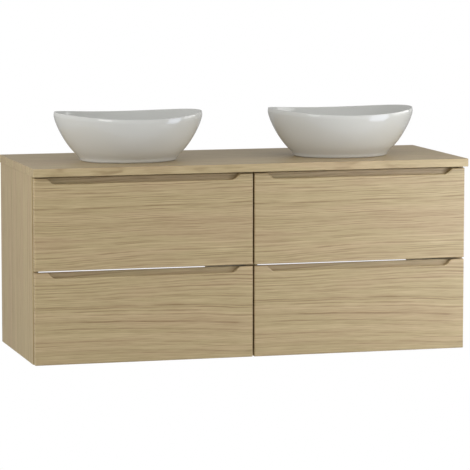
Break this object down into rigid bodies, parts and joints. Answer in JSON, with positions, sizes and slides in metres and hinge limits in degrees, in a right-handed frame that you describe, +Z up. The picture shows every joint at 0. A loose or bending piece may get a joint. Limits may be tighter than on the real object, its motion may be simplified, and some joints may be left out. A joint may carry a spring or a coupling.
{
  "type": "double vessel basin vanity",
  "caption": "Wall-hung oak vanity with full-width worktop, oval white ceramic vessel basins, and drawers opened by finger grips milled in their fronts.",
  "frame": {"origin": "centre of the bounding box's underside: midway between the two cabinets, midway from the worktop's front edge to the wall plane, at the cabinets' underside", "axes": "+X along the width to the right seen from the front, +Y towards the wall, +Z up"},
  "size_m": [1.205, 0.465, 0.655],
  "materials": {
    "oak": "light oak decor laminate, matt, fine open grain",
    "ceramic": "white glaze, high gloss",
    "chrome": "polished chrome plating",
    "zinc_steel": "zinc plated, satin",
    "drawer_steel": "grey powder coat, satin",
    "drawer_board": "light grey melamine, matt",
    "white_plastic": "moulded, satin"
  },
  "bodies": {
    "cabinet": {"worktop": "oak", "basin_left": "ceramic", "waste_body_left": "chrome", "waste_nut_left": "white_plastic", "trap_body_left": "chrome", "trap_outlet_left": "chrome", "cabinet_left_side_left": "oak", "cabinet_left_side_right": "oak", "cabinet_left_bottom": "oak", "cabinet_left_front_rail": "oak", "cabinet_left_hanging_rail": "oak", "cabinet_left_lower_rear_rail": "oak", "hanger_left_left": "zinc_steel", "hanger_left_right": "zinc_steel", "runner_lower_left_left": "zinc_steel", "runner_lower_left_right": "zinc_steel", "runner_upper_left_left": "zinc_steel", "runner_upper_left_right": "zinc_steel", "basin_right": "ceramic", "waste_body_right": "chrome", "waste_nut_right": "white_plastic", "trap_body_right": "chrome", "trap_outlet_right": "chrome", "cabinet_right_side_left": "oak", "cabinet_right_side_right": "oak", "cabinet_right_bottom": "oak", "cabinet_right_front_rail": "oak", "cabinet_right_hanging_rail": "oak", "cabinet_right_lower_rear_rail": "oak", "hanger_right_left": "zinc_steel", "hanger_right_right": "zinc_steel", "runner_lower_right_left": "zinc_steel", "runner_lower_right_right": "zinc_steel", "runner_upper_right_left": "zinc_steel", "runner_upper_right_right": "zinc_steel"},
    "plug_left": {"waste_plug_left": "chrome"},
    "drawer_lower_left": {"drawer_front_lower_left": "oak", "drawer_side_lower_left_left": "drawer_steel", "drawer_side_lower_left_right": "drawer_steel", "drawer_bottom_lower_left": "drawer_board", "drawer_back_lower_left": "drawer_board"},
    "drawer_upper_left": {"drawer_front_upper_left": "oak", "drawer_side_upper_left_left": "drawer_steel", "drawer_side_upper_left_right": "drawer_steel", "drawer_bottom_upper_left": "drawer_board", "drawer_back_upper_left": "drawer_board", "trap_surround_left": "white_plastic"},
    "plug_right": {"waste_plug_right": "chrome"},
    "drawer_lower_right": {"drawer_front_lower_right": "oak", "drawer_side_lower_right_left": "drawer_steel", "drawer_side_lower_right_right": "drawer_steel", "drawer_bottom_lower_right": "drawer_board", "drawer_back_lower_right": "drawer_board"},
    "drawer_upper_right": {"drawer_front_upper_right": "oak", "drawer_side_upper_right_left": "drawer_steel", "drawer_side_upper_right_right": "drawer_steel", "drawer_bottom_upper_right": "drawer_board", "drawer_back_upper_right": "drawer_board", "trap_surround_right": "white_plastic"}
  },
  "joints": [
    {"name": "drawer_lower_left_slide", "type": "slide", "parent": "cabinet", "child": "drawer_lower_left", "axis": [0, -1, 0], "range_m": [0, 0.31]},
    {"name": "drawer_lower_right_slide", "type": "slide", "parent": "cabinet", "child": "drawer_lower_right", "axis": [0, -1, 0], "range_m": [0, 0.31]},
    {"name": "drawer_upper_left_slide", "type": "slide", "parent": "cabinet", "child": "drawer_upper_left", "axis": [0, -1, 0], "range_m": [0, 0.31]},
    {"name": "drawer_upper_right_slide", "type": "slide", "parent": "cabinet", "child": "drawer_upper_right", "axis": [0, -1, 0], "range_m": [0, 0.31]},
    {"name": "plug_left_lift", "type": "slide", "parent": "cabinet", "child": "plug_left", "axis": [0, 0, 1], "range_m": [0, 0.009]},
    {"name": "plug_right_lift", "type": "slide", "parent": "cabinet", "child": "plug_right", "axis": [0, 0, 1], "range_m": [0, 0.009]}
  ]
}
